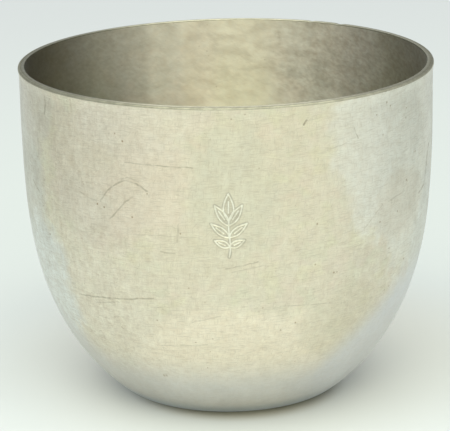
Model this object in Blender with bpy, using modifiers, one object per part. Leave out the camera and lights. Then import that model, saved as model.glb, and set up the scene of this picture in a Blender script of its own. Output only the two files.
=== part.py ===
# Jefferson cup: a plain round pewter cup whose side rolls in to a small flat foot.
# The cup is one continuous skin of metal, turned about the Z axis. It has no handle, seam or applied foot.
# Metres, +Z up. The origin is the centre of the foot, on the surface that the cup stands on.

import math

import bpy

# Overall sizes
MOUTH_DIAMETER = 0.0825  # over the outside of the lip
HEIGHT = 0.0667
FOOT_DIAMETER = 0.0448  # over the outer edge of the ring that the cup stands on

# The side is a superellipse from the foot's edge to the lip.
# A higher side power keeps the side upright further down, and a higher turn power rounds it in nearer the foot.
SIDE_POWER = 3.8
TURN_POWER = 1.1

# The metal
WALL = 0.0011
FLOOR_THICKNESS = 0.0014

# The lip: rounded over outside, a flat land on top, a slightly eased edge inside
LIP_ROUND = 0.00045
LIP_EASING = 0.00012

# The floor inside, which sweeps up into the side
FLOOR_SWEEP = 0.006

# The foot: a flat ring, inside which the bottom is drawn up a little
RING_WIDTH = 0.0028
RECESS_DEPTH = 0.0007
RECESS_RUN = 0.0022  # the width over which the bottom rises from the ring to the recess

# How finely the curves are drawn
TURN_STEPS = 80
OUTER_SIDE_STEPS = 20
INNER_SIDE_STEPS = 16
SWEEP_STEPS = 5
LIP_STEPS = 4
RECESS_STEPS = 4
SIDE_CROWDING = 1.7  # above 1, the points of the side lie closer together near the foot, where it bends most
PROFILE_MERGE = 0.00001  # joins the turned surface at the axis

# The metal's look
PEWTER_COLOUR = (0.63, 0.61, 0.54, 1.0)
PEWTER_ROUGHNESS = 0.34

# Values worked out from those above
MOUTH_RADIUS = MOUTH_DIAMETER / 2
FOOT_RADIUS = FOOT_DIAMETER / 2
FLOOR_LEVEL = RECESS_DEPTH + FLOOR_THICKNESS
SIDE_TOP = HEIGHT - LIP_ROUND
INNER_SIDE_TOP = HEIGHT - LIP_EASING


def side_radius(z):
    """The outside radius of the cup at height z."""
    below_lip = 1 - z / HEIGHT
    return FOOT_RADIUS + (MOUTH_RADIUS - FOOT_RADIUS) * (1 - below_lip**SIDE_POWER) ** (1 / TURN_POWER)


def side_lean(z):
    """How fast the outside radius grows with height at height z, above the foot."""
    below_lip = 1 - z / HEIGHT
    grown = 1 - below_lip**SIDE_POWER
    growth = (SIDE_POWER / TURN_POWER) * below_lip ** (SIDE_POWER - 1) * grown ** (1 / TURN_POWER - 1)
    return growth * (MOUTH_RADIUS - FOOT_RADIUS) / HEIGHT


def inside_point(z, depth):
    """The point that lies at this depth under the outside skin, square to it, at the skin's height z."""
    lean = side_lean(z)
    length = math.hypot(1, lean)
    return side_radius(z) - depth / length, z + depth * lean / length


def heights(low, high, steps):
    """Heights from low to high, closer together at the low end."""
    return [low + (high - low) * (step / steps) ** SIDE_CROWDING for step in range(steps + 1)]


def arc(centre, radius, start, end, steps):
    """Points on an arc, with its angles in degrees from the direction away from the axis."""
    points = []
    for step in range(steps + 1):
        angle = math.radians(start + (end - start) * step / steps)
        points.append((centre[0] + radius * math.cos(angle), centre[1] + radius * math.sin(angle)))
    return points


def sweep_contact():
    """The height on the outside skin behind the point where the floor's sweep meets the inner side."""
    low, high = FLOOR_LEVEL * 0.01, HEIGHT / 2
    while high - low > PROFILE_MERGE / 100:
        middle = (low + high) / 2
        centre_z = inside_point(middle, WALL + FLOOR_SWEEP)[1]
        if centre_z < FLOOR_LEVEL + FLOOR_SWEEP:
            low = middle
        else:
            high = middle
    return low


def floor_sweep():
    """The inner floor from the axis outwards, and the arc that carries it up to the side."""
    contact = sweep_contact()
    centre = inside_point(contact, WALL + FLOOR_SWEEP)
    contact_angle = -math.degrees(math.atan(side_lean(contact)))
    return [(0.0, FLOOR_LEVEL)] + arc(centre, FLOOR_SWEEP, -90, contact_angle, SWEEP_STEPS)


def inner_side():
    """The inner side from the floor's sweep up to the lip, one wall inside the outer skin."""
    return [inside_point(z, WALL) for z in heights(sweep_contact(), INNER_SIDE_TOP, INNER_SIDE_STEPS)][1:-1]


def lip():
    """The eased inner edge, the flat land and the outer round, from the inside out."""
    easing_centre = (MOUTH_RADIUS - WALL + LIP_EASING, HEIGHT - LIP_EASING)
    round_centre = (MOUTH_RADIUS - LIP_ROUND, HEIGHT - LIP_ROUND)
    easing = arc(easing_centre, LIP_EASING, 180, 90, LIP_STEPS // 2)
    outer_round = arc(round_centre, LIP_ROUND, 90, 0, LIP_STEPS)
    return easing + outer_round


def outer_side():
    """The outer side from under the lip down to the foot's edge."""
    side = [(side_radius(z), z) for z in heights(0.0, SIDE_TOP, OUTER_SIDE_STEPS)]
    return side[-2::-1]


def underside():
    """The ring that the cup stands on, and the bottom drawn up inside it as far as the axis."""
    ring_inner = FOOT_RADIUS - RING_WIDTH
    points = []
    for step in range(RECESS_STEPS + 1):
        share = step / RECESS_STEPS
        rise = RECESS_DEPTH * (1 - math.cos(math.pi * share)) / 2
        points.append((ring_inner - RECESS_RUN * share, rise))
    return points + [(0.0, RECESS_DEPTH)]


def metal(name, colour, roughness):
    """A plain metal finish."""
    material = bpy.data.materials.new(name)
    material.use_nodes = True
    shader = material.node_tree.nodes["Principled BSDF"]
    shader.inputs["Base Color"].default_value = colour
    shader.inputs["Metallic"].default_value = 1.0
    shader.inputs["Roughness"].default_value = roughness
    material.diffuse_color = colour
    return material


def turned_piece(name, profile, material, collection):
    """One solid turned about Z from a half section, given from the top of the axis round to its bottom."""
    mesh = bpy.data.meshes.new(name)
    edges = [(index, index + 1) for index in range(len(profile) - 1)]
    mesh.from_pydata([(radius, 0.0, z) for radius, z in profile], edges, [])
    mesh.materials.append(material)
    piece = bpy.data.objects.new(name, mesh)
    collection.objects.link(piece)

    turn = piece.modifiers.new("Turn", "SCREW")
    turn.axis = "Z"
    turn.angle = math.tau
    turn.steps = TURN_STEPS
    turn.render_steps = TURN_STEPS
    turn.use_merge_vertices = True
    turn.merge_threshold = PROFILE_MERGE
    turn.use_smooth_shade = True

    shading = piece.modifiers.new("Even shading", "WEIGHTED_NORMAL")
    shading.mode = "FACE_AREA"
    return piece


def main():
    for old in list(bpy.data.objects):
        bpy.data.objects.remove(old, do_unlink=True)
    collection = bpy.data.collections.new("jefferson_cup")
    bpy.context.scene.collection.children.link(collection)

    pewter = metal("pewter", PEWTER_COLOUR, PEWTER_ROUGHNESS)
    half_section = floor_sweep() + inner_side() + lip() + outer_side() + underside()
    turned_piece("cup_body", half_section, pewter, collection)


main()
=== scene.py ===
# The looks of a plain pewter Jefferson cup: its worn satin skin, its engraved sprig and a pale studio.
# Metres, +Z up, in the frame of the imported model. The cup's front, where its engraving is, faces -Y.

import math

import bpy
import numpy as np
from mathutils import Matrix, Vector


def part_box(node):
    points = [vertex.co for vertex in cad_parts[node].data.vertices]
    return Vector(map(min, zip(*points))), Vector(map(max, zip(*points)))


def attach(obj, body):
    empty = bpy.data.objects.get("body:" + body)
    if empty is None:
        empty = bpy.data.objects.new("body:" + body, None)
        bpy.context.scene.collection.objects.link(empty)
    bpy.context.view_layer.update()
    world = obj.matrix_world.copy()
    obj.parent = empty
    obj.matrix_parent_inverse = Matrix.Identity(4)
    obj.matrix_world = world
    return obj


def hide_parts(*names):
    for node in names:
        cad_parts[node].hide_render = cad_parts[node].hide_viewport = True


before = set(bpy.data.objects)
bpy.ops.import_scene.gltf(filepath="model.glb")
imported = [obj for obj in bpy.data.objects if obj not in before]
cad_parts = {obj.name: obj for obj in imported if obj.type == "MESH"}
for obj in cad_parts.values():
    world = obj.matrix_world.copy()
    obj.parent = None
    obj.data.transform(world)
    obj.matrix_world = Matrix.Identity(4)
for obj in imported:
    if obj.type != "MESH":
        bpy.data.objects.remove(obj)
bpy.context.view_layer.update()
cup_low, cup_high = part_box("cup_body")

MM = 0.001

# The cup's sizes. The mouth and the height are read from the frame.
MOUTH_RADIUS = (cup_high.x - cup_low.x) / 2
HEIGHT = cup_high.z
FOOT_RADIUS = 22.4 * MM
SIDE_POWER = 3.8
TURN_POWER = 1.1
WALL = 1.1 * MM
FLOOR_LEVEL = 2.1 * MM
FLOOR_SWEEP = 6.0 * MM
RING_WIDTH = 2.8 * MM
RECESS_DEPTH = 0.7 * MM
RECESS_RUN = 2.2 * MM
AXIS_GAP = 1.0 * MM  # the radius of the small fan of faces that closes each skin at the axis

# The lip, from the inside out: an eased edge, a flat land, a fine turned line, and a rounded outer edge
LIP_EASING = 0.12 * MM
LIP_ROUND = 0.45 * MM
LIP_LINE_WIDTH = 0.16 * MM
LIP_LINE_DEPTH = 0.07 * MM
LIP_SUPPORTS = np.array([0.8, 0.35, 0.12]) * MM  # rows below the lip, which keep its shading at the lip
LIP_FLARE = 0.20 * MM  # how far the lip's edge was pushed out when it was turned
LIP_FLARE_REACH = 0.8 * MM

# The used cup isn't quite true: its lip rises and falls, and its side wanders in and out.
LIP_WARP = 0.10 * MM
LIP_WARP_FADE = 25.0 * MM
TRUE_HEIGHT = 6.0 * MM  # the height over which the side's wander grows from nothing at the foot
# Each wave: how often it goes round the cup, the spacing of its crests up the side, its start and its depth
SIDE_WAVES = (
    (2, 90 * MM, 0.4, 0.045 * MM),
    (3, 41 * MM, 1.9, 0.022 * MM),
    (5, 33 * MM, 4.1, 0.014 * MM),
    (9, 21 * MM, 2.6, 0.008 * MM),
    (14, 17 * MM, 5.2, 0.005 * MM),
)
# Each dent: how far round the side it lies from the front, its height, its radius and its depth
DENTS = MM * np.array([
    (-17.0, 9.2, 0.8, 0.12),
    (30.0, 21.0, 5.0, 0.05),
    (-33.0, 37.0, 6.0, 0.05),
    (74.0, 52.0, 4.0, 0.07),
    (-96.0, 30.0, 5.0, 0.09),
    (112.0, 17.0, 3.5, 0.08),
])
# Each nick in the lip: the angle from the front, its half width round the lip and its depth
NICKS = (
    (math.radians(152.9), 0.6 * MM, 0.16 * MM),
    (math.radians(143.3), 0.9 * MM, 0.20 * MM),
    (math.radians(-52.0), 0.4 * MM, 0.05 * MM),
)
NICK_DROP = 0.6 * MM  # how far below the lip a nick still moves the metal
NICK_WINDOW = 1.5  # how far round the lip the mesh is finer at a nick, in its half widths

# The engraved sprig, and the window round it in which the mesh is fine enough to carve
SPRIG_HEIGHT = 44.0 * MM
GROOVE_HALF_WIDTH = 0.16 * MM
GROOVE_DEPTH = 0.09 * MM
BESIDE_SHADE_REACH = 0.55 * MM  # how far from a cut the painted shade beside it reaches
WINDOW_HALF_WIDTH = 4.4 * MM
WINDOW_HALF_HEIGHT = 6.7 * MM
WINDOW_STEP = 0.08 * MM
STEM_LOW = -6.2 * MM  # where it starts, from the sprig's middle
STEM_LENGTH = 7.4 * MM
STEM_BEND = 0.35 * MM
TOP_LEAF = (0.9 * MM, 5.3 * MM, 1.9 * MM)  # where it starts up the stem, its length and its width
# Each pair of leaves: where it starts across and up the stem, its lean in degrees, its length and its width
LEAF_PAIRS = (
    (0.0, 0.0, 33, 4.7 * MM, 1.45 * MM),
    (0.05 * MM, -2.3 * MM, 52, 4.3 * MM, 1.3 * MM),
    (0.1 * MM, -4.2 * MM, 66, 3.1 * MM, 1.25 * MM),
)
LEAF_SWELL = 0.85  # below 1, a leaf is widest below its middle
MIDRIB_LOW, MIDRIB_HIGH = 0.3, 0.72  # where a leaf's midrib starts and ends, in shares of its length

# How finely the rest is drawn
COLUMN_STEP = math.radians(2.25)
OUTER_ROW_STEP = 0.9 * MM
FOOT_ROWS = np.array([2.2, 1.5, 0.95, 0.5, 0.2, 0.05, 0.0]) * MM  # heights, closer where the bowl bends most
FOOT_ROWS_START = 3.0 * MM
INNER_ROWS = 40
INNER_CROWDING = 1.4  # above 1, the rows of the inner side lie closer together near the floor
FLOOR_RINGS = 11
SWEEP_STEPS = 8
LIP_EASING_STEPS = 4
LIP_ROUND_STEPS = 8
RING_STEPS = 4
RECESS_STEPS = 7
RECESS_RINGS = 8
NICK_COLUMNS = 8
LEAF_POINTS = 17
STEM_POINTS = 13
HALVINGS = 40  # of the search for the height where the floor's sweep meets the side

HAIR_FADE = 0.06  # how much of the noise's range the edge of a hairline takes up


def side_radius(z):
    """The outside radius at each height."""
    below_lip = np.clip(1 - z / HEIGHT, 0, 1)
    grown = 1 - below_lip**SIDE_POWER
    return FOOT_RADIUS + (MOUTH_RADIUS - FOOT_RADIUS) * grown ** (1 / TURN_POWER)


def side_lean(z):
    """How fast the outside radius grows with height, above the foot."""
    below_lip = np.clip(1 - z / HEIGHT, 0, 1)
    grown = 1 - below_lip**SIDE_POWER
    growth = (SIDE_POWER / TURN_POWER) * below_lip ** (SIDE_POWER - 1) * grown ** (1 / TURN_POWER - 1)
    return growth * (MOUTH_RADIUS - FOOT_RADIUS) / HEIGHT


def inside_points(z, depth):
    """Points at this depth under the outside skin, square to it."""
    lean = side_lean(z)
    length = np.hypot(1, lean)
    return np.column_stack([side_radius(z) - depth / length, z + depth * lean / length])


def arc(centre, radius, start, end, steps):
    """Points on an arc, with its angles in degrees from the direction away from the axis."""
    angles = np.radians(np.linspace(start, end, steps + 1))
    return np.column_stack([centre[0] + radius * np.cos(angles), centre[1] + radius * np.sin(angles)])


def spaced(start, end, step):
    """Values from start to end, both included, about a step apart."""
    return np.linspace(start, end, max(2, round(abs(end - start) / step) + 1))


def level_line(start, end, level, steps):
    """Points on a level line of the half section, without its first."""
    radii = np.linspace(start, end, steps + 1)[1:]
    return np.column_stack([radii, np.full(steps, level)])


def sweep_contact():
    """The height on the outside skin behind the point where the floor's sweep meets the inner side."""
    low, high = FLOOR_LEVEL * 0.01, HEIGHT / 2
    for _ in range(HALVINGS):
        middle = (low + high) / 2
        centre_z = inside_points(np.array([middle]), WALL + FLOOR_SWEEP)[0, 1]
        low, high = (middle, high) if centre_z < FLOOR_LEVEL + FLOOR_SWEEP else (low, middle)
    return low


def inner_skin():
    """The floor, its sweep and the inner side, from the axis up to the lip."""
    contact = sweep_contact()
    centre = inside_points(np.array([contact]), WALL + FLOOR_SWEEP)[0]
    contact_angle = -math.degrees(math.atan(side_lean(np.array([contact]))[0]))
    floor = level_line(AXIS_GAP, centre[0], FLOOR_LEVEL, FLOOR_RINGS)[:-1]
    sweep = arc(centre, FLOOR_SWEEP, -90, contact_angle, SWEEP_STEPS)
    top = HEIGHT - LIP_EASING
    heights = contact + (top - contact) * np.linspace(0, 1, INNER_ROWS + 1) ** INNER_CROWDING
    heights = np.concatenate([heights[1:-1], top - LIP_SUPPORTS])
    return np.vstack([[AXIS_GAP, FLOOR_LEVEL], floor, sweep, inside_points(heights, WALL)])


def lip():
    """The lip from its inner edge to its outer one: its land, its turned line and its rounded edge."""
    easing_centre = (MOUTH_RADIUS - WALL + LIP_EASING, HEIGHT - LIP_EASING)
    easing = arc(easing_centre, LIP_EASING, 180, 90, LIP_EASING_STEPS)
    line_outside = MOUTH_RADIUS + LIP_FLARE - LIP_ROUND
    line = np.array([
        [line_outside - LIP_LINE_WIDTH, HEIGHT],
        [line_outside - LIP_LINE_WIDTH * 0.7, HEIGHT - LIP_LINE_DEPTH],
        [line_outside - LIP_LINE_WIDTH * 0.3, HEIGHT - LIP_LINE_DEPTH],
    ])
    rounding = arc((line_outside, HEIGHT - LIP_ROUND), LIP_ROUND, 90, 0, LIP_ROUND_STEPS)
    return {
        "land": np.vstack([easing, line[:1]]),
        "line": np.vstack([line[1:], rounding[:1]]),
        "bevel": rounding[1:],
    }


def outer_skin():
    """The outer side from under the lip down to the foot's edge."""
    window_low = SPRIG_HEIGHT - WINDOW_HALF_HEIGHT
    window_high = SPRIG_HEIGHT + WINDOW_HALF_HEIGHT
    heights = np.concatenate([
        HEIGHT - LIP_ROUND - LIP_SUPPORTS[::-1],
        spaced(HEIGHT - LIP_ROUND - LIP_SUPPORTS[0], window_high, OUTER_ROW_STEP)[1:],
        spaced(window_high, window_low, WINDOW_STEP)[1:],
        spaced(window_low, FOOT_ROWS_START, OUTER_ROW_STEP)[1:],
        FOOT_ROWS,
    ])
    flare = LIP_FLARE * np.exp(-(((HEIGHT - LIP_ROUND - heights) / LIP_FLARE_REACH) ** 2))
    return np.column_stack([side_radius(heights) + flare, heights])


def underside():
    """The ring that the cup stands on, and the recess inside it as far as the axis."""
    ring_inner = FOOT_RADIUS - RING_WIDTH
    ring = level_line(FOOT_RADIUS, ring_inner, 0.0, RING_STEPS)
    share = np.linspace(0, 1, RECESS_STEPS + 1)[1:]
    rise = RECESS_DEPTH * (1 - np.cos(math.pi * share)) / 2
    recess = np.column_stack([ring_inner - RECESS_RUN * share, rise])
    middle = level_line(ring_inner - RECESS_RUN, AXIS_GAP, RECESS_DEPTH, RECESS_RINGS)
    return np.vstack([ring, recess, middle])


def column_angles():
    """Angles round the cup from its front, finer before the sprig and at the nicks."""
    half = WINDOW_HALF_WIDTH / MOUTH_RADIUS
    window = spaced(-half, half, WINDOW_STEP / MOUTH_RADIUS)
    angles = [window, spaced(half, math.tau - half, COLUMN_STEP)[1:-1]]
    for angle, half_width, _ in NICKS:
        reach = NICK_WINDOW * half_width / MOUTH_RADIUS
        angles.append(np.linspace(angle - reach, angle + reach, NICK_COLUMNS) % math.tau)
    return np.sort(np.concatenate(angles))


def leaf(base, lean, length, width):
    """The two edges and the midrib of a pointed leaf that leans this many degrees to the right."""
    share = np.linspace(0, 1, LEAF_POINTS)
    half = width / 2 * np.sin(math.pi * share**LEAF_SWELL)
    lines = [np.column_stack([side * half, length * share]) for side in (-1, 1)]
    lines.append(np.array([[0, MIDRIB_LOW * length], [0, MIDRIB_HIGH * length]]))
    turn = math.radians(lean)
    rotation = np.array([[math.cos(turn), -math.sin(turn)], [math.sin(turn), math.cos(turn)]])
    return [line @ rotation + base for line in lines]


def sprig():
    """A small upright sprig of pointed leaves, as lines about its middle."""
    share = np.linspace(0, 1, STEM_POINTS)
    bend = STEM_BEND * np.sin(math.pi * 1.5 * share) * (1 - share)
    lines = [np.column_stack([bend, STEM_LOW + STEM_LENGTH * share])]
    start, length, width = TOP_LEAF
    lines += leaf((0, start), 0, length, width)
    for across, up, lean, length, width in LEAF_PAIRS:
        for side in (-1, 1):
            lines += leaf((across, up), side * lean, length, width)
    return lines


def distance_to_lines(points, lines):
    """How far each point lies from the nearest of the lines."""
    nearest = np.full(len(points), np.inf)
    for line in lines:
        for start, end in zip(line[:-1], line[1:]):
            along = end - start
            share = np.clip((points - start) @ along / (along @ along), 0, 1)
            nearest = np.minimum(nearest, np.linalg.norm(points - start - share[:, None] * along, axis=1))
    return nearest


def wrapped(angle):
    """The same angle between minus half a turn and half a turn."""
    return (angle + math.pi) % math.tau - math.pi


def side_wander(angle, z):
    """How far the used cup's side stands out from its true round."""
    wander = np.zeros(np.broadcast(angle, z).shape)
    for turns, crest, start, depth in SIDE_WAVES:
        round_cup = np.cos(turns * angle + start + math.tau * z / crest)
        up_cup = np.cos(start * turns + z / crest)
        wander = wander + depth * round_cup * up_cup
    for round_side, height, radius, depth in DENTS:
        across = wrapped(angle - round_side / MOUTH_RADIUS) * side_radius(np.array(height))
        wander = wander - depth * np.exp(-(across**2 + (z - height) ** 2) / radius**2)
    settled = np.clip(z / TRUE_HEIGHT, 0, 1)
    return wander * settled**2 * (3 - 2 * settled)


def lip_drop(angle, z):
    """How far the lip is lowered by its warp and its nicks."""
    near_lip = np.clip(1 - (HEIGHT - z) / LIP_WARP_FADE, 0, 1)
    drop = LIP_WARP * (1 + np.sin(2 * angle)) * near_lip**2
    at_lip = np.clip(1 - (HEIGHT - z) / NICK_DROP, 0, 1)
    for nick_angle, half_width, depth in NICKS:
        across = wrapped(angle - nick_angle) * MOUTH_RADIUS / half_width
        drop = drop + depth * np.exp(-(across**2)) * at_lip
    return drop


def worn_grid(section, zones, angles):
    """Every point of the turned skin, moved as the used cup is, and how near it lies to the engraving."""
    radius = np.repeat(section[:, :1], len(angles), axis=1)
    z = np.repeat(section[:, 1:], len(angles), axis=1)
    angle = np.repeat(wrapped(angles)[None, :], len(section), axis=0)
    outward = side_wander(angle, z)

    nearness = np.zeros(radius.shape)
    engraved = (zones == "outside")[:, None] & (np.abs(z - SPRIG_HEIGHT) < WINDOW_HALF_HEIGHT)
    engraved &= np.abs(angle) < WINDOW_HALF_WIDTH / MOUTH_RADIUS
    flat = np.column_stack([(angle * MOUTH_RADIUS)[engraved], z[engraved] - SPRIG_HEIGHT])
    distance = distance_to_lines(flat, sprig())
    nearness[engraved] = np.clip(1 - distance / BESIDE_SHADE_REACH, 0, 1)
    outward[engraved] -= GROOVE_DEPTH * np.clip(1 - distance / GROOVE_HALF_WIDTH, 0, 1)

    radius = radius + outward
    grid = np.stack([radius * np.sin(angle), -radius * np.cos(angle), z - lip_drop(angle, z)], axis=-1)
    return grid, nearness


def placed(name, data):
    """A new object in the scene."""
    thing = bpy.data.objects.new(name, data)
    bpy.context.scene.collection.objects.link(thing)
    return thing


def turned_cup(name, looks):
    """The whole cup as one closed skin, with a look for each of its zones."""
    parts = {"inside": inner_skin(), **lip(), "outside": outer_skin(), "underside": underside()}
    section = np.vstack(list(parts.values()))
    zones = np.concatenate([[zone] * len(part) for zone, part in parts.items()])
    angles = column_angles()
    rings, columns = len(section), len(angles)
    grid, nearness = worn_grid(section, zones, angles)
    vertices = np.vstack([grid.reshape(-1, 3), [0, 0, section[0, 1]], [0, 0, section[-1, 1]]])

    row_start = np.arange(rings - 1)[:, None] * columns
    here = np.arange(columns)[None, :]
    there = (here + 1) % columns
    corners = (row_start + here, row_start + there, row_start + columns + there, row_start + columns + here)
    quads = np.stack(corners, axis=-1)
    faces = quads.reshape(-1, 4).tolist()
    top_centre, bottom_centre = rings * columns, rings * columns + 1
    last_row = (rings - 1) * columns
    for column in range(columns):
        following = (column + 1) % columns
        faces.append((following, column, top_centre))
        faces.append((bottom_centre, last_row + column, last_row + following))

    mesh = bpy.data.meshes.new(name)
    mesh.from_pydata(vertices.tolist(), [], faces)
    order = list(looks)
    for look in looks.values():
        mesh.materials.append(look)
    slots = np.repeat([order.index(zone) for zone in zones[1:]], columns)
    ends = np.tile([order.index("inside"), order.index("underside")], columns)
    mesh.polygons.foreach_set("material_index", np.concatenate([slots, ends]).astype(np.int32))
    engraving = mesh.attributes.new("engraving", "FLOAT", "POINT")
    engraving.data.foreach_set("value", np.append(nearness.ravel(), [0, 0]).astype(np.float32))
    mesh.shade_smooth()
    mesh.update()
    return placed(name, mesh)


class Nodes:
    """A node tree, with short ways to add to it. A value is a number, a tuple or a node's output."""

    def __init__(self, tree):
        self.tree = tree

    def new(self, kind):
        return self.tree.nodes.new("ShaderNode" + kind)

    def join(self, value, socket):
        if isinstance(value, bpy.types.NodeSocket):
            self.tree.links.new(value, socket)
        else:
            socket.default_value = value

    def join_all(self, node, settings):
        for name, value in settings.items():
            self.join(value, node.inputs[name])

    def math(self, operation, first, second=0.0, third=0.0):
        node = self.new("Math")
        node.operation = operation
        for value, socket in zip((first, second, third), node.inputs):
            self.join(value, socket)
        return node.outputs["Value"]

    def vector(self, operation, first, second=(0, 0, 0), output="Vector"):
        node = self.new("VectorMath")
        node.operation = operation
        self.join(first, node.inputs[0])
        self.join(second, node.inputs[1])
        return node.outputs[output]

    def times(self, *values):
        """The product of the values."""
        product, *others = values
        for value in others:
            product = self.math("MULTIPLY", product, value)
        return product

    def plus(self, base, *changes):
        """The base with some changes added, each one times its strength."""
        for change, strength in changes:
            base = self.math("MULTIPLY_ADD", change, strength, base)
        return base

    def point(self, x, y, z=0.0):
        node = self.new("CombineXYZ")
        for value, socket in zip((x, y, z), node.inputs):
            self.join(value, socket)
        return node.outputs["Vector"]

    def split(self, place):
        node = self.new("SeparateXYZ")
        self.join(place, node.inputs["Vector"])
        return node.outputs

    def fit(self, value, low, high, start=0.0, end=1.0):
        """Carries low to start and high to end, smoothly and no further."""
        node = self.new("MapRange")
        node.interpolation_type = "SMOOTHSTEP"
        ends = {"Value": value, "From Min": low, "From Max": high, "To Min": start, "To Max": end}
        self.join_all(node, ends)
        return node.outputs["Result"]

    def swing(self, value, low, high):
        """Carries low to minus a half and high to a half, smoothly and no further."""
        return self.fit(value, low, high, -0.5, 0.5)

    def strongest(self, values):
        """The highest of the values."""
        highest, *others = values
        for value in others:
            highest = self.math("MAXIMUM", highest, value)
        return highest

    def mix(self, share, first, second):
        """A colour between the first and the second."""
        node = self.new("Mix")
        node.data_type = "RGBA"
        for value, name in ((share, "Factor"), (first, "A"), (second, "B")):
            self.join(value if not isinstance(value, tuple) else (*value, 1.0), node.inputs[name])
        return node.outputs["Result"]

    def shaded(self, colour, tone):
        """The colour made lighter or darker by the tone, which is about 1."""
        node = self.new("VectorMath")
        node.operation = "SCALE"
        self.join_all(node, {"Vector": colour, "Scale": tone})
        return node.outputs["Vector"]

    def worn(self, colour, wear, shares, warmth, base=1.0):
        """The colour under some wear, of which each channel takes its share, and a drift of warmth."""
        change = self.vector("ADD", self.shaded(shares, wear), (base, base, base))
        change = self.vector("ADD", change, self.shaded((1.0, 0.0, -1.0), warmth))
        return self.vector("MULTIPLY", colour, change)

    def noise(self, place, scale, detail=2.0, roughness=0.5, distortion=0.0, output="Fac"):
        node = self.new("TexNoise")
        self.join_all(node, {"Vector": place, "Scale": scale, "Detail": detail})
        self.join_all(node, {"Roughness": roughness, "Distortion": distortion})
        return node.outputs[output]

    def cloud(self, place, scale, strength, detail=2.0, roughness=0.6):
        """A cloudy change about 0, of this strength."""
        cloudy = self.math("SUBTRACT", self.noise(place, scale, detail, roughness), 0.5)
        return self.times(cloudy, strength)

    def cells(self, place, scale):
        """The distance from the nearest of some scattered points, and a number of that point's own."""
        node = self.new("TexVoronoi")
        self.join_all(node, {"Vector": place, "Scale": scale})
        return node.outputs["Distance"], self.split(node.outputs["Color"])["X"]

    def spots(self, cells, radii, kept):
        """Spots that fade between two radii, about those scattered points whose own number is kept."""
        distance, number = cells
        return self.times(self.fit(distance, *radii, 1.0, 0.0), self.fit(number, *kept))


def stroke_group():
    """A group that gives how far a place lies from a straight stroke."""
    group = bpy.data.node_groups.new("distance to stroke", "ShaderNodeTree")
    for name in ("Place", "From", "To"):
        group.interface.new_socket(name, in_out="INPUT", socket_type="NodeSocketVector")
    group.interface.new_socket("Distance", in_out="OUTPUT", socket_type="NodeSocketFloat")
    given = group.nodes.new("NodeGroupInput")
    result = group.nodes.new("NodeGroupOutput")
    nodes = Nodes(group)
    from_start = nodes.vector("SUBTRACT", given.outputs["Place"], given.outputs["From"])
    along = nodes.vector("SUBTRACT", given.outputs["To"], given.outputs["From"])
    reach = nodes.vector("DOT_PRODUCT", from_start, along, "Value")
    length = nodes.vector("DOT_PRODUCT", along, along, "Value")
    share = nodes.math("MINIMUM", nodes.math("MAXIMUM", nodes.math("DIVIDE", reach, length), 0.0), 1.0)
    distance = nodes.vector("DISTANCE", from_start, nodes.shaded(along, share), "Value")
    nodes.join(distance, result.inputs["Distance"])
    return group


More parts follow.
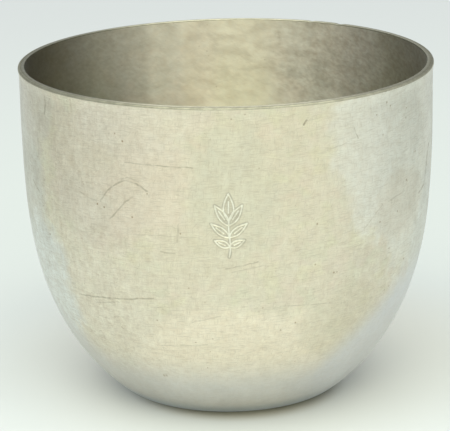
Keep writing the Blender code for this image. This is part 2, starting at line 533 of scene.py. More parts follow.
class Look(Nodes):
    """A metal's material, with its places in millimetres."""

    def __init__(self, name, brushed, turn=0.0, facing=1.0):
        """The unrolled side is centred on the front where facing is 1, and on the back where it is -1."""
        self.material = bpy.data.materials.new(name)
        self.material.use_nodes = True
        super().__init__(self.material.node_tree)
        self.shader = self.tree.nodes["Principled BSDF"]
        tangent = self.new("Tangent")
        tangent.direction_type = "RADIAL"
        tangent.axis = "Z"
        self.join_all(self.shader, {"Metallic": 1.0, "Tangent": tangent.outputs["Tangent"]})
        self.join_all(self.shader, {"Anisotropic": brushed, "Anisotropic Rotation": turn})

        where = self.new("TexCoord").outputs["Object"]
        self.place = self.vector("MULTIPLY", where, (1 / MM, 1 / MM, 1 / MM))
        along = self.split(self.place)
        self.height = along["Z"]
        aside = self.times(along["X"], facing)
        ahead = self.times(along["Y"], -facing)
        self.round_side = self.times(self.math("ARCTAN2", aside, ahead), MOUTH_RADIUS / MM)
        self.unrolled = self.point(self.round_side, self.height)
        self.across = along["X"]

    def stretched(self, across, up):
        """The place, scaled differently across the cup and up it."""
        return self.vector("MULTIPLY", self.place, (across, across, up))

    def combed(self, lean, length, width, shift=0.0):
        """The place on the unrolled side, drawn out along lines that lean this many degrees from level."""
        turn = math.radians(lean)
        moved = self.vector("ADD", self.unrolled, (shift, shift / 3, 0))
        along = self.vector("DOT_PRODUCT", moved, (math.cos(turn), math.sin(turn), 0), "Value")
        across = self.vector("DOT_PRODUCT", moved, (-math.sin(turn), math.cos(turn), 0), "Value")
        return self.point(self.math("DIVIDE", along, length), self.math("DIVIDE", across, width))

    def hairlines(self, lean, length, width, rarity, shift):
        """Fine straight scratches that lean this many degrees from level. A higher rarity leaves fewer."""
        combed = self.noise(self.combed(lean, length, width, shift), 1.0, 1.0, 0.4, 0.2)
        return self.fit(combed, rarity, rarity + HAIR_FADE)

    def strokes(self, group, lines):
        """Scratches that follow the given lines, each with its half width and strength."""
        wobble = self.vector("SUBTRACT", self.noise(self.unrolled, 0.6, output="Color"), (0.5, 0.5, 0.5))
        place = self.vector("ADD", self.unrolled, self.vector("MULTIPLY", wobble, (0.5, 0.5, 0.0)))
        patchy = self.fit(self.noise(self.unrolled, 0.9), 0.3, 0.6, 0.35, 1.0)
        marks = []
        for points, half_width, strength in lines:
            for start, end in zip(points[:-1], points[1:]):
                stroke = self.new("Group")
                stroke.node_tree = group
                self.join_all(stroke, {"Place": place, "From": (*start, 0), "To": (*end, 0)})
                distance = stroke.outputs["Distance"]
                marks.append(self.fit(distance, 0.3 * half_width, half_width, strength, 0.0))
        return self.times(self.strongest(marks), patchy)

    def patch(self, centre, reach, ragged):
        """A cloudy patch, with its centre and reach round the side and up. A ragged one fades further."""
        away = self.vector("SUBTRACT", self.unrolled, (*centre, 0))
        away = self.vector("LENGTH", self.vector("DIVIDE", away, (*reach, 1)), output="Value")
        stirred = self.math("ADD", self.cloud(self.unrolled, 0.16, ragged * 2, 4.0), away)
        return self.fit(stirred, 1 - ragged / 2, 1 + ragged * 0.4, 1.0, 0.0)

    def from_axis(self):
        """The distance from the cup's axis."""
        return self.vector("LENGTH", self.vector("MULTIPLY", self.place, (1, 1, 0)), output="Value")

    def rings(self, scale):
        """Faint turned rings about the axis."""
        return self.noise(self.point(self.times(self.from_axis(), scale), 0.0), 1.0, 2.0, 0.6)

    def finish(self, colour, roughness, relief, relief_depth):
        """Sets the colour, the roughness and a relief of this depth in millimetres."""
        bump = self.new("Bump")
        self.join_all(bump, {"Strength": 1.0, "Distance": relief_depth * MM, "Height": relief})
        surface = {"Base Color": colour, "Roughness": roughness, "Normal": bump.outputs["Normal"]}
        self.join_all(self.shader, surface)
        return self.material


# Scratches that stand out: points round the side and up and half width in millimetres, and strength
SCRATCHES = (
    (((-25.8, 47.0), (-23.8, 49.7), (-21.9, 51.1), (-20.2, 51.9), (-17.6, 51.4), (-15.4, 50.1)), 0.24, 0.85),
    (((-21.6, 51.8), (-19.6, 52.5), (-17.2, 51.9)), 0.18, 0.5),
    (((-23.7, 43.9), (-20.0, 47.8), (-18.5, 48.8)), 0.21, 0.8),
    (((-31.0, 48.0), (-26.8, 46.8)), 0.22, 0.5),
    (((-20.0, 55.4), (-13.5, 55.3)), 0.17, 0.6),
    (((-13.5, 55.3), (-6.6, 55.2)), 0.20, 0.9),
    (((-35.6, 26.1), (-29.9, 26.7), (-22.2, 27.6), (-15.6, 28.6)), 0.22, 1.0),
    (((-30.5, 25.4), (-24.0, 26.6)), 0.18, 0.6),
    (((-0.7, 35.4), (5.5, 36.6)), 0.18, 0.7),
    (((0.4, 34.7), (7.0, 35.9)), 0.16, 0.5),
    (((25.2, 60.4), (26.2, 58.4)), 0.20, 0.7),
    (((14.4, 62.5), (15.0, 63.2)), 0.30, 1.9),
    (((20.0, 57.2), (23.5, 57.8)), 0.16, 0.5),
    (((-8.0, 24.0), (-2.0, 25.5)), 0.16, 0.5),
    (((10.0, 27.0), (21.0, 26.2)), 0.16, 0.5),
    (((28.0, 40.0), (33.0, 44.0)), 0.16, 0.5),
    (((-41.4, 64.8), (-41.0, 63.2), (-41.6, 61.4)), 0.34, 0.85),
    (((-49.0, 46.5), (-46.0, 45.0)), 0.24, 0.9),
    (((-9.6, 43.8), (-9.9, 40.6)), 0.30, 0.6),
    (((-16.0, 18.0), (-5.0, 19.0)), 0.17, 0.5),
    (((4.0, 50.5), (13.0, 50.1)), 0.16, 0.4),
    (((-19.5, 41.4), (-12.2, 41.7), (-5.5, 41.6)), 0.16, 0.45),
    (((-13.2, 38.5), (-10.4, 38.2)), 0.24, 0.6),
    (((53.5, 51.2), (52.3, 49.7), (51.6, 47.4)), 0.50, 1.15),
    (((51.6, 47.4), (50.5, 43.8), (47.4, 42.9)), 0.38, 0.9),
    (((34.8, 44.2), (39.4, 45.0), (41.6, 47.0)), 0.20, 0.5),
)
# Pits that stand out: places round the side and up, and radius, in millimetres
PITS = (
    (-20.3, 59.4, 0.28),
    (17.2, 43.0, 0.26),
    (13.7, 23.0, 0.26),
    (21.4, 32.5, 0.26),
    (-9.2, 42.3, 0.24),
    (-26.6, 46.4, 0.26),
    (-25.0, 46.0, 0.22),
    (-17.4, 10.4, 0.45),
    (-16.7, 10.5, 0.40),
    (-5.6, 13.4, 0.22),
    (31.0, 62.0, 0.2),
    (40.5, 61.5, 0.22),
    (44.5, 52.0, 0.22),
    (0.8, 64.4, 0.2),
    (-18.8, 44.8, 0.26),
    (-15.5, 49.7, 0.20),
    (32.5, 40.6, 0.24),
    (36.1, 34.4, 0.22),
    (22.1, 32.5, 0.2),
    (33.9, 63.9, 0.30),
    (35.0, 63.0, 0.24),
    (40.3, 59.6, 0.26),
    (40.9, 47.1, 0.34),
    (43.0, 30.4, 0.30),
    (38.6, 25.8, 0.24),
    (38.0, 41.5, 0.26),
)
CREAM = (0.796, 0.728, 0.588)
CLOUD_TINT = (0.772, 0.724, 0.582)
DRIFT_TINT = (0.787, 0.718, 0.615)
# Wide, faint stains: where each one's pattern starts, and its colour
STAINS = (
    (0.0, (0.815, 0.705, 0.585)),
    (50.0, (0.745, 0.735, 0.570)),
    (90.0, (0.800, 0.760, 0.545)),
)
# The patches are partly tarnish and partly painted light and painted reflection.
# Cloudy patches: centre and reach round the side and up in millimetres, raggedness, colour and strength
TARNISH_AND_LIGHT_PATCHES = (
    ((-23.0, 52.0), (17.0, 13.0), 0.5, (0.822, 0.732, 0.608), 0.9),
    ((-31.0, 57.0), (9.0, 8.0), 0.5, (0.790, 0.714, 0.580), 0.8),
    ((-18.0, 62.5), (13.0, 5.5), 0.5, (0.824, 0.753, 0.640), 0.7),
    ((0.5, 50.0), (8.0, 14.0), 0.5, (0.748, 0.710, 0.580), 0.8),
    ((48.0, 53.0), (20.0, 28.0), 0.5, (0.862, 0.832, 0.736), 0.95),
    ((33.5, 59.0), (13.2, 20.0), 0.35, (0.844, 0.815, 0.726), 0.85),
    ((54.0, 33.0), (8.0, 14.0), 0.5, (0.802, 0.788, 0.715), 0.8),
    ((-56.0, 44.0), (13.0, 22.0), 0.5, (0.735, 0.710, 0.622), 0.9),
    ((40.0, 43.0), (8.5, 7.0), 0.5, (0.786, 0.732, 0.624), 0.75),
    ((-47.0, 61.5), (9.0, 6.5), 0.5, (0.735, 0.680, 0.580), 0.75),
    ((-30.5, 44.5), (7.0, 7.0), 0.5, (0.750, 0.690, 0.575), 0.6),
    ((-5.0, 38.0), (8.0, 6.0), 0.5, (0.768, 0.704, 0.566), 0.6),
    ((0.8, 15.0), (24.5, 11.5), 0.4, (0.922, 0.834, 0.680), 0.85),
    ((-30.0, 24.0), (14.0, 12.0), 0.5, (0.832, 0.768, 0.634), 0.7),
    ((25.0, 21.0), (9.0, 8.5), 0.5, (0.750, 0.692, 0.545), 0.6),
    ((-49.0, 26.0), (12.0, 14.0), 0.5, (0.815, 0.820, 0.768), 0.9),
)
# The bowl's painted reflection of the shadowed paper, and the darker, cooler painted shade at its very
# bottom
BOWL_REFLECTION_FRONT = (0.776, 0.764, 0.732)
BOWL_REFLECTION_LEFT = (0.712, 0.696, 0.656)
BOWL_REFLECTION_RIGHT = (0.762, 0.764, 0.770)
BOWL_EDGE_SHADE = (0.578, 0.634, 0.662)
# In millimetres, for the painted grey reflection: how high it reaches in front, over what it fades there,
# where round the side it rises and how steeply, the most that it rises, and where its back begins
GREY_HEIGHT = 12.0
GREY_FADE_DOWN, GREY_FADE_UP = 5.0, 4.5
GREY_RISE_RIGHT = (22.0, 0.70)
GREY_RISE_LEFT = (33.0, 0.42)
GREY_RISE_MOST = 15.0
GREY_BEHIND = (62.0, 95.0)
GREY_LOOSENS = (46.0, 72.0)  # where round the side its edge starts to wander and soften, and does so fully
GREY_WANDER = 22.0
GREY_SOFTENING = 6.0

TARNISH_CONTRAST = 0.42  # how strongly the tarnish lightens and darkens the outside
OUTSIDE_TONE = 0.972
OUTSIDE_SHARES = (0.82, 1.0, 1.18)  # the wear's share in each colour channel, so that dark marks look warm
SCRATCH_COLOUR = (0.46, 0.40, 0.30)
# Hairlines: their lean in degrees, length and width in millimetres, rarity, and where their pattern starts
DARK_HAIRS = (
    (6, 3.6, 0.20, 0.60, 3.0),
    (84, 1.6, 0.18, 0.62, 25.0),
    (-10, 2.4, 0.17, 0.62, 41.0),
    (52, 1.8, 0.17, 0.67, 87.0),
)
BRIGHT_HAIRS = (
    (-9, 6.0, 0.12, 0.64, 140.0),
    (76, 2.0, 0.14, 0.66, 190.0),
)

# The engraving is bright-cut: its grooves get a painted highlight where they aren't worn, and the metal
# beside them painted shade.
CUT_NEARNESS = (0.69, 0.83)
BESIDE_NEARNESS = (0.16, 0.50)
CUT_HIGHLIGHT = (0.95, 0.93, 0.82)
BESIDE_SHADE = (0.46, 0.42, 0.34)


def tarnish_and_light_colour(look, drift):
    """The outside's cream, under cloudy tints, wide faint stains and patches, partly tarnish and partly
    painted light and reflections.
    """
    clouds = look.noise(look.stretched(0.8, 1.0), 0.10, 3.0, 0.6)
    colour = look.mix(look.fit(clouds, 0.46, 0.64, 0.0, 0.5), CREAM, CLOUD_TINT)
    colour = look.mix(look.fit(drift, 0.52, 0.72, 0.0, 0.5), colour, DRIFT_TINT)
    for shift, tint in STAINS:
        stain = look.noise(look.vector("ADD", look.stretched(0.20, 0.24), (shift, 0, 0)), 1.0, 1.5, 0.5)
        colour = look.mix(look.fit(stain, 0.52, 0.68, 0.0, 0.36), colour, tint)
    for centre, reach, ragged, tint, share in TARNISH_AND_LIGHT_PATCHES:
        colour = look.mix(look.times(look.patch(centre, reach, ragged), share), colour, tint)
    return colour


def low_bowl_share(look, aside):
    """How far each place belongs to the smooth bowl and its painted grey reflection. Its edge rises at the
    sides and wanders behind.
    """
    rise = 0.0
    for side, (start, slope) in ((1.0, GREY_RISE_RIGHT), (-1.0, GREY_RISE_LEFT)):
        beyond = look.math("MAXIMUM", look.math("MULTIPLY_ADD", look.round_side, side, -start), 0.0)
        rise = look.plus(rise, (beyond, slope))
    in_front = look.fit(aside, *GREY_BEHIND, 1.0, 0.0)
    rise = look.times(look.math("MINIMUM", rise, GREY_RISE_MOST), in_front)
    loose = look.fit(aside, *GREY_LOOSENS)
    wander = look.times(look.cloud(look.place, 0.055, GREY_WANDER, 3.0, 0.55), loose)
    over = look.math("ADD", wander, look.math("SUBTRACT", look.height, rise))
    soft = look.times(loose, GREY_SOFTENING)
    whole = look.math("SUBTRACT", GREY_HEIGHT - GREY_FADE_DOWN, soft)
    return look.fit(over, whole, look.math("ADD", GREY_HEIGHT + GREY_FADE_UP, soft), 1.0, 0.0)


def bowl_reflection(look, drift):
    """The bowl's painted grey reflection, a little different from left to right, with painted shade at the
    very bottom.
    """
    grey = look.mix(look.fit(look.round_side, -30.0, -12.0), BOWL_REFLECTION_LEFT, BOWL_REFLECTION_FRONT)
    grey = look.mix(look.fit(look.round_side, 12.0, 30.0), grey, BOWL_REFLECTION_RIGHT)
    # painted shade: darker and cooler at the very bottom
    grey = look.mix(look.fit(look.height, 0.2, 3.2, 1.0, 0.0), grey, BOWL_EDGE_SHADE)
    return look.shaded(grey, look.fit(drift, 0.3, 0.7, 0.965, 1.035))


def outside_pits(look):
    """Small scattered pits, and those that stand out."""
    pits = [look.spots(look.cells(look.place, 0.30), (0.03, 0.08), (0.50, 0.55))]
    for across, up, radius in PITS:
        distance = look.vector("DISTANCE", look.unrolled, (across, up, 0), "Value")
        pits.append(look.fit(distance, 0.4 * radius, radius, 1.2, 0.0))
    return look.strongest(pits)


def outside_wear(look, lines, tarnish, pits):
    """How much lighter or darker each place is worn, about 0."""
    upright = look.noise(look.stretched(1.6, 0.2), 1.0)
    blotches = look.noise(look.place, 0.55, 3.0, 0.6, 0.8)
    dashes = look.noise(look.stretched(0.75, 3.2), 1.0, 2.0, 0.55, 0.3)
    wear = look.times(look.math("SUBTRACT", tarnish, 0.5), TARNISH_CONTRAST)
    wear = look.plus(wear, (look.swing(lines, 0.25, 0.75), 0.055), (look.swing(upright, 0.3, 0.7), 0.05))
    wear = look.plus(wear, (look.swing(blotches, 0.28, 0.72), 0.11), (look.swing(dashes, 0.25, 0.60), 0.04))

    flecked = look.cells(look.stretched(0.8, 1.3), 0.85)
    flecks = look.spots(flecked, (0.06, 0.22), (0.60, 0.80))
    bright_flecks = look.spots(flecked, (0.06, 0.22), (0.12, 0.28, 1.0, 0.0))
    specks = look.spots(look.cells(look.stretched(1.0, 1.25), 1.5), (0.10, 0.24), (0.66, 0.76))
    crowd = look.fit(look.noise(look.place, 0.12), 0.48, 0.62, 0.30, 1.0)
    specks = look.times(specks, look.times(crowd, look.fit(look.round_side, -34.0, -16.0, 1.6, 1.0)))
    bright_hairs = look.strongest([look.hairlines(*hair) for hair in BRIGHT_HAIRS])
    wear = look.plus(wear, (pits, -0.45), (flecks, -0.13), (specks, -0.21), (bright_flecks, 0.09))
    wear = look.plus(wear, (bright_hairs, 0.10))
    more_left = look.fit(look.round_side, -36.0, -6.0, 1.22, 0.73)
    return look.times(wear, more_left, look.fit(look.height, 32.0, 46.0, 1.02, 0.90))


def engraved_colour(look, colour, nearness, cut):
    """The colour with the engraving in it: a painted highlight in the grooves and painted shade beside them,
    which come and go with the rubbing of hands.
    """
    rubbed = look.noise(look.unrolled, 0.8, 2.0, 0.6)
    # painted shade beside the grooves, and a painted highlight in them
    beside = look.math("MAXIMUM", look.math("SUBTRACT", look.fit(nearness, *BESIDE_NEARNESS), cut), 0.0)
    beside_shade = look.times(beside, look.fit(rubbed, 0.38, 0.60, 0.72, 0.36))
    colour = look.mix(beside_shade, colour, BESIDE_SHADE)
    return look.mix(look.times(cut, look.fit(rubbed, 0.38, 0.60, 0.42, 0.95)), colour, CUT_HIGHLIGHT)


def outside_look(stroke):
    """Satin pewter: faint spin lines, cloudy warm and grey tints, a painted grey reflection low on the bowl,
    pits, flecks, hairlines and scratches.
    """
    look = Look("pewter_outside", 0.85, 0.25)
    drift = look.noise(look.stretched(1.0, 0.8), 0.21, 4.0, 0.62, 0.6)
    lines = look.noise(look.stretched(0.05, 4.2), 1.0, 3.0, 0.6)
    tarnish = look.noise(look.stretched(0.9, 1.1), 0.62, 4.0, 0.95, 0.3)
    pits = outside_pits(look)
    hairs = look.strongest([look.hairlines(*hair) for hair in DARK_HAIRS])
    marks = look.math("MAXIMUM", look.strokes(stroke, SCRATCHES), look.times(hairs, 0.30))

    # Towards the foot the bowl is smooth and shows little of the wear above it; its grey there is a painted
    # reflection.
    aside = look.math("ABSOLUTE", look.round_side)
    low_bowl = low_bowl_share(look, aside)
    rough = look.plus(1.0, (low_bowl, -0.64))
    # painted reflection: the bowl's grey, weaker behind
    reflected_share = look.times(low_bowl, look.fit(aside, *GREY_BEHIND, 0.92, 0.6))
    colour = look.mix(reflected_share, tarnish_and_light_colour(look, drift), bowl_reflection(look, drift))
    scratched = look.times(marks, look.times(rough, 0.78))
    colour = look.mix(scratched, colour, SCRATCH_COLOUR)
    wear = look.times(outside_wear(look, lines, tarnish, pits), rough)
    colour = look.worn(colour, wear, OUTSIDE_SHARES, look.cloud(look.place, 0.75, 0.035), OUTSIDE_TONE)

    engraving = look.new("Attribute")
    engraving.attribute_name = "engraving"
    cut = look.fit(engraving.outputs["Fac"], *CUT_NEARNESS)
    colour = engraved_colour(look, colour, engraving.outputs["Fac"], cut)

    roughness = look.fit(drift, 0.3, 0.7, 0.34, 0.41)
    roughness = look.plus(roughness, (low_bowl, -0.04), (look.swing(lines, 0.3, 0.7), 0.03), (cut, -0.04))
    relief = look.plus(look.times(tarnish, 0.5), (lines, 0.12), (marks, -0.4), (pits, -1.0))
    return look.finish(colour, roughness, look.times(relief, rough), 0.02)


FLOOR_TO_SIDE = (5.0, 14.0)  # the heights between which the look of the floor gives way to that of the side
INSIDE_SHARES = (0.87, 1.0, 1.13)
# The inside's tints: of its clouds, of the left and right of its bright middle band, a painted reflection,
# and of its top
INSIDE_CLOUDS = ((0.700, 0.655, 0.586), (0.672, 0.650, 0.590))
INSIDE_REFLECTION_BAND = ((0.683, 0.632, 0.535), (0.674, 0.647, 0.529))
INSIDE_TOP = (0.700, 0.668, 0.625)
# Towards each end, painted shade: where across the cup the tint starts and where it is whole, and the tint
INSIDE_SHADED_ENDS = ((-22.0, -30.0, (0.664, 0.670, 0.554)), (26.0, 36.0, (0.640, 0.656, 0.550)))
# The steps of the painted light and shade across the cup: between which places each lies, and from which
# tone to which it goes
INSIDE_LIGHT_STEPS = (
    (-41.0, -13.0, 0.58, 1.0),
    (-28.0, -22.0, 1.0, 0.885),
    (-18.0, -15.5, 1.0, 1.153),
    (-11.0, -9.0, 0.95, 1.0),
    (6.0, 14.0, 1.0, 0.925),
    (30.0, 40.0, 1.0, 0.81),
)
# Wiping marks inside: their lean in degrees, length in millimetres, where their pattern starts, and strength
INSIDE_HAIRS = ((28, 2.4, 10.0, -0.035), (-12, 3.2, 60.0, -0.03), (40, 2.0, 120.0, 0.03))


def inside_colour(look, upper):
    """The inside's cloudy tints, with a yellower painted reflection band in the middle and greener painted
    shade at the ends.
    """
    clouds = look.noise(look.stretched(0.9, 1.2), 0.13, 3.0, 0.6)
    colour = look.mix(look.fit(clouds, 0.38, 0.62), *INSIDE_CLOUDS)
    band = look.mix(look.fit(look.across, -5.0, 0.0), *INSIDE_REFLECTION_BAND)
    middle = look.times(look.fit(look.across, -10.5, -8.0), look.fit(look.across, 6.0, 14.0, 1.0, 0.0))
    colour = look.mix(look.times(middle, upper, 0.85), colour, band)
    for start, whole, tint in INSIDE_SHADED_ENDS:
        colour = look.mix(look.times(look.fit(look.across, start, whole), upper, 0.8), colour, tint)
    return look.mix(look.fit(look.height, 50.0, 64.0, 0.0, 0.5), colour, INSIDE_TOP)


def inside_light_and_shade(look, upper):
    """The inside's painted light and shade: how light it is from left to right, with the changes that only
    its upper or lower part has.
    """
    tone = look.times(*(look.fit(look.across, *step) for step in INSIDE_LIGHT_STEPS))
    left = look.fit(look.across, -10.0, -3.0, 0.17, 0.0)
    lower_left = look.times(look.swing(look.height, 48.0, 66.0), left)
    tone = look.times(look.math("ADD", tone, lower_left), look.fit(look.across, 16.0, 26.0, 1.0, 1.13))
    upper_right = look.times(look.fit(look.height, 54.0, 66.0), look.fit(look.across, -6.0, 4.0, 0.0, 0.09))
    right = look.times(look.fit(look.across, 10.0, 16.0), look.fit(look.across, 25.0, 33.0, 1.0, 0.0))
    lower_right = look.times(right, look.fit(look.height, 56.0, 64.0, -0.075, 0.0))
    tone = look.math("ADD", look.math("ADD", tone, upper_right), lower_right)
    return look.fit(upper, 0.0, 1.0, 0.98, tone)


def inside_look():
    """The inside: rougher, yellower and cloudier, smeared by wiping, with a painted reflection band in its
    middle and painted shade towards its ends.
    """
    look = Look("pewter_inside", 0.95, 0.25, -1.0)
    smears = look.noise(look.combed(8, 4.0, 2.4), 1.0, 3.0, 0.5, 0.3)
    smears = look.fit(look.height, *FLOOR_TO_SIDE, look.noise(look.place, 0.3, 3.0, 0.6, 0.3), smears)
    mottle = look.noise(look.combed(13, 1.3, 0.8), 1.0, 2.4, 0.55, 0.3)
    mottle = look.fit(look.height, *FLOOR_TO_SIDE, look.noise(look.place, 1.0, 2.4, 0.6), mottle)
    lines = look.noise(look.stretched(0.04, 2.4), 1.0, 3.0, 0.6)
    specks = look.spots(look.cells(look.place, 0.55), (0.04, 0.12), (0.6, 0.64))
    rings = look.times(look.swing(look.rings(3.0), 0.3, 0.7), look.fit(look.height, 3.0, 9.0, 1.0, 0.0))
    spotted_left = look.fit(look.across, -24.0, -8.0, 0.14, 0.05)
    spotted = look.math("MAXIMUM", look.fit(look.across, 4.0, 24.0, 0.03, 0.235), spotted_left)

    wear = look.times(look.swing(smears, 0.28, 0.72), 0.12)
    wear = look.plus(wear, (look.swing(mottle, 0.28, 0.72), spotted), (look.swing(lines, 0.3, 0.7), 0.012))
    wear = look.plus(wear, (rings, 0.06), (specks, -0.20))
    on_side = look.fit(look.height, *FLOOR_TO_SIDE)
    for lean, length, shift, strength in INSIDE_HAIRS:
        hairs = look.times(look.hairlines(lean, length, 0.3, 0.60, shift), on_side)
        wear = look.plus(wear, (hairs, strength))

    upper = look.fit(look.height, 22.0, 45.0)
    # painted light and shade: a bright reflection band in the middle, darker towards the ends
    colour = look.shaded(inside_colour(look, upper), inside_light_and_shade(look, upper))
    colour = look.worn(colour, wear, INSIDE_SHARES, look.cloud(look.place, 0.8, 0.06))
    relief = look.plus(look.times(lines, 0.04), (look.times(mottle, spotted), 1.2), (specks, -0.5))
    return look.finish(colour, look.fit(smears, 0.3, 0.7, 0.38, 0.46), relief, 0.02)


# The lip's parts: colours left to right, darker at the sides as painted shade, roughness and, for the outer
# edge, the colour low down
LIP_SHADED_LOOKS = {
    "land": ((0.240, 0.235, 0.196), (0.58, 0.56, 0.47), (0.320, 0.313, 0.262), 0.46),
    "line": ((0.20, 0.195, 0.155), (0.42, 0.41, 0.34), (0.22, 0.21, 0.17), 0.60),
    "bevel": ((0.25, 0.247, 0.21), (0.30, 0.295, 0.25), (0.225, 0.222, 0.195), 0.58, (0.50, 0.48, 0.405)),
}


def lip_look(name, left, middle, right, roughness, low=None):
    """One part of the turned lip, worn in places, with painted shade towards the sides and up the outer
    edge.
    """
    look = Look(name, 0.2, 0.25)
    # painted shade: darker towards the sides
    tint = look.mix(look.fit(look.across, -30.0, -10.0), left, middle)
    tint = look.mix(look.fit(look.across, 10.0, 30.0), tint, right)
    if low:
        # painted shade: the outer edge darker towards its top
        rounded_up = look.fit(look.height, (HEIGHT - LIP_ROUND - LIP_WARP) / MM, (HEIGHT - LIP_WARP) / MM)
        tint = look.mix(rounded_up, low, tint)
    wear = look.noise(look.place, 0.5, 4.0, 0.65)
    fine = look.noise(look.place, 3.0, 3.0, 0.6)
    tone = look.plus(look.fit(wear, 0.35, 0.65, 1.06, 0.88), (look.swing(fine, 0.25, 0.75), 0.12))
    worn_roughness = look.fit(wear, 0.3, 0.7, roughness, roughness + 0.1)
    return look.finish(look.shaded(tint, tone), worn_roughness, fine, 0.01)


def underside_look():
    """The foot: dull grey metal, scuffed, and rubbed on the ring that it stands on."""
    look = Look("pewter_underside", 0.3, 0.25)
    clouds = look.noise(look.place, 0.22, 4.0, 0.65)
    rings = look.rings(5.0)
    ring_inner = (FOOT_RADIUS - RING_WIDTH) / MM
    rubbed = look.fit(look.from_axis(), ring_inner - 0.4, ring_inner + 0.4)
    scuffs = look.noise(look.vector("MULTIPLY", look.place, (0.25, 3.2, 1.0)), 1.0)
    other_scuffs = look.noise(look.vector("MULTIPLY", look.place, (2.6, 0.3, 1.0)), 1.0)
    scuffed = look.math("MAXIMUM", look.fit(scuffs, 0.64, 0.70), look.fit(other_scuffs, 0.66, 0.72))
    colour = look.mix(look.fit(clouds, 0.35, 0.65), (0.52, 0.52, 0.48), (0.62, 0.60, 0.53))
    colour = look.mix(look.times(rubbed, 0.6), colour, (0.72, 0.70, 0.64))
    tone = look.plus(1.0, (look.swing(rings, 0.25, 0.75), 0.10), (scuffed, 0.14))
    roughness = look.plus(look.fit(clouds, 0.3, 0.7, 0.44, 0.54), (rubbed, -0.12))
    return look.finish(look.shaded(colour, tone), roughness, look.plus(rings, (scuffed, -0.5)), 0.02)


# The paper's colours, darker further back as painted shade, and the places along Y between which one gives
# way to the next
PAPER_FRONT = (0.428, 0.453, 0.504)
PAPER_MIDDLE = (0.336, 0.362, 0.398)
PAPER_BACK = (0.285, 0.298, 0.350)
FRONT_FADE = (-0.07, 0.11)
BACK_FADE = (0.08, 0.45)
# Beside the foot the paper is less blue: a painted tint of the light in the cup's shadow.
PAPER_SHADE = (0.404, 0.411, 0.416)
SHADE_CENTRE = (6.0 * MM, 12.0 * MM, 0.0)
SHADE_REACH = (28.0 * MM, 65.0 * MM)
# Close round the foot it is painted darker and warm: a painted contact shadow, warmed by the light the metal
# throws on it.
PAPER_WARM_SHADOW = (0.380, 0.356, 0.298)
WARM_SHADOW_REACH = (17.0 * MM, 23.0 * MM)
# How much lighter the paper shows than it is lit: not at all under the foot, and less close beside it, which
# paints its shadow darker
PAPER_LIFT = (0.195, 0.208, 0.196)
LIFT_CENTRE = (1.0 * MM, -5.8 * MM, 0.0)
LIFT_START = (17.2 * MM, 22.8 * MM)
LOW_LIFT_CENTRE = (3.0 * MM, -3.0 * MM, 0.0)
LOW_LIFT = (15.0 * MM, 42.0 * MM, 0.68, 1.0)
PAPER_HALF = 3.0


def paper_look():
    """The studio's pale paper, with painted shade further back and a painted contact shadow round the foot.
    It shows a little lighter than it is lit, but less so close round the foot.
    """
    material = bpy.data.materials.new("studio_paper")
    material.use_nodes = True
    nodes = Nodes(material.node_tree)
    shader = material.node_tree.nodes["Principled BSDF"]
    where = nodes.new("TexCoord").outputs["Object"]
    along = nodes.split(where)["Y"]
    away = nodes.vector("DISTANCE", where, LIFT_CENTRE, "Value")
    shade = nodes.vector("DISTANCE", where, SHADE_CENTRE, "Value")
    low_away = nodes.vector("DISTANCE", where, LOW_LIFT_CENTRE, "Value")
    # painted shade: the paper greys further back
    paper = nodes.mix(nodes.fit(along, *FRONT_FADE), PAPER_FRONT, PAPER_MIDDLE)
    paper = nodes.mix(nodes.fit(along, *BACK_FADE), paper, PAPER_BACK)
    # painted light: the tint of the cup's shadow beside the foot
    paper = nodes.mix(nodes.fit(shade, *SHADE_REACH), PAPER_SHADE, paper)
    # painted shadow: darker and warm close round the foot
    paper = nodes.mix(nodes.fit(away, *WARM_SHADOW_REACH), PAPER_WARM_SHADOW, paper)
    nodes.join_all(shader, {"Base Color": paper, "Roughness": 0.9, "Specular IOR Level": 0.2})
    path = nodes.new("LightPath")
    # painted shadow: the lift is withheld under and close beside the foot
    lift = nodes.times(path.outputs["Is Camera Ray"], nodes.fit(away, *LIFT_START))
    lift = nodes.times(lift, nodes.fit(low_away, *LOW_LIFT))
    lift = nodes.strongest([lift, path.outputs["Is Glossy Ray"], path.outputs["Is Transmission Ray"]])
    nodes.join_all(shader, {"Emission Color": (*PAPER_LIFT, 1.0), "Emission Strength": lift})
    return material


def studio_floor():
    mesh = bpy.data.meshes.new("studio_floor")
    corners = [(x * PAPER_HALF, y * PAPER_HALF, 0) for x, y in ((-1, -1), (1, -1), (1, 1), (-1, 1))]
    mesh.from_pydata(corners, [], [(0, 1, 2, 3)])
    mesh.materials.append(paper_look())
    floor = placed("studio_floor", mesh)


# The room's soft glows: angle to the right of the front, angle up, tightness and colour
GLOWS = (
    (0, 56, 20, (6.45, 6.55, 5.25)),
    (-60, 56, 20, (5.10, 5.2, 4.30)),
    (60, 56, 20, (4.0, 4.1, 3.40)),
    (-120, 56, 20, (2.35, 2.4, 2.25)),
    (120, 56, 20, (2.55, 2.6, 2.42)),
    (180, 56, 20, (1.12, 1.15, 1.10)),
    (-30, 28, 20, (0.74, 0.74, 0.54)),
    (30, 28, 20, (0.86, 0.86, 0.62)),
    (-90, 28, 20, (0.33, 0.35, 0.34)),
    (-150, 28, 20, (0.42, 0.44, 0.44)),
    (180, 20, 20, (0.60, 0.64, 0.64)),
    (60, 4, 20, (0.72, 0.74, 0.62)),
    (90, 4, 20, (0.29, 0.31, 0.31)),
)
ROOM = (0.02, 0.02, 0.02)


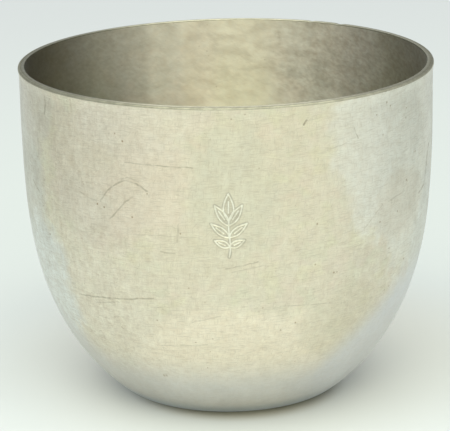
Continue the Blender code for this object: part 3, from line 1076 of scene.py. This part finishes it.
def studio_world():
    """A dim room with soft glows, the strongest high in front of the cup."""
    world = bpy.data.worlds.new("studio")
    world.use_nodes = True
    nodes = Nodes(world.node_tree)
    direction = nodes.new("TexCoord").outputs["Generated"]
    total = ROOM
    for azimuth, elevation, tightness, colour in GLOWS:
        turn, rise = math.radians(azimuth), math.radians(elevation)
        centre = (math.sin(turn) * math.cos(rise), -math.cos(turn) * math.cos(rise), math.sin(rise))
        ahead = nodes.math("MAXIMUM", nodes.vector("DOT_PRODUCT", direction, centre, "Value"), 0.0)
        fade = nodes.math("POWER", ahead, tightness)
        total = nodes.vector("ADD", nodes.shaded(colour, fade), total)
    nodes.join(total, world.node_tree.nodes["Background"].inputs["Color"])
    bpy.context.scene.world = world


# The camera, as it stood for the photograph
CAMERA_DISTANCE = 0.450
CAMERA_HEIGHT = 0.16558
CAMERA_PAN, CAMERA_TILT, CAMERA_ROLL = (math.radians(angle) for angle in (-0.093, 16.294, -1.079))
FRAME_WIDTH = 450
FOCAL_PIXELS = 2301
SENSOR_WIDTH = 36.0


def photo_camera():
    level = math.cos(CAMERA_TILT)
    forward = Vector((math.sin(CAMERA_PAN) * level, math.cos(CAMERA_PAN) * level, -math.sin(CAMERA_TILT)))
    right = Vector((math.cos(CAMERA_PAN), -math.sin(CAMERA_PAN), 0))
    up = right.cross(forward)
    rolled_right = math.cos(CAMERA_ROLL) * right + math.sin(CAMERA_ROLL) * up
    rolled_up = -math.sin(CAMERA_ROLL) * right + math.cos(CAMERA_ROLL) * up
    lens = bpy.data.cameras.new("camera")
    lens.sensor_width = SENSOR_WIDTH
    lens.lens = FOCAL_PIXELS * SENSOR_WIDTH / FRAME_WIDTH
    camera = placed("camera", lens)
    turned = Matrix((rolled_right, rolled_up, -forward)).transposed()
    camera.matrix_world = Matrix.Translation((0, -CAMERA_DISTANCE, CAMERA_HEIGHT)) @ turned.to_4x4()
    bpy.context.scene.camera = camera


photo_camera()
looks = {
    "inside": inside_look(),
    **{part: lip_look(f"pewter_lip_{part}", *worn) for part, worn in LIP_SHADED_LOOKS.items()},
    "outside": outside_look(stroke_group()),
    "underside": underside_look(),
}
cup = turned_cup("cup", looks)
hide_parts("cup_body")
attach(cup, "root")
studio_floor()
studio_world()
bpy.context.scene.view_settings.view_transform = "Standard"
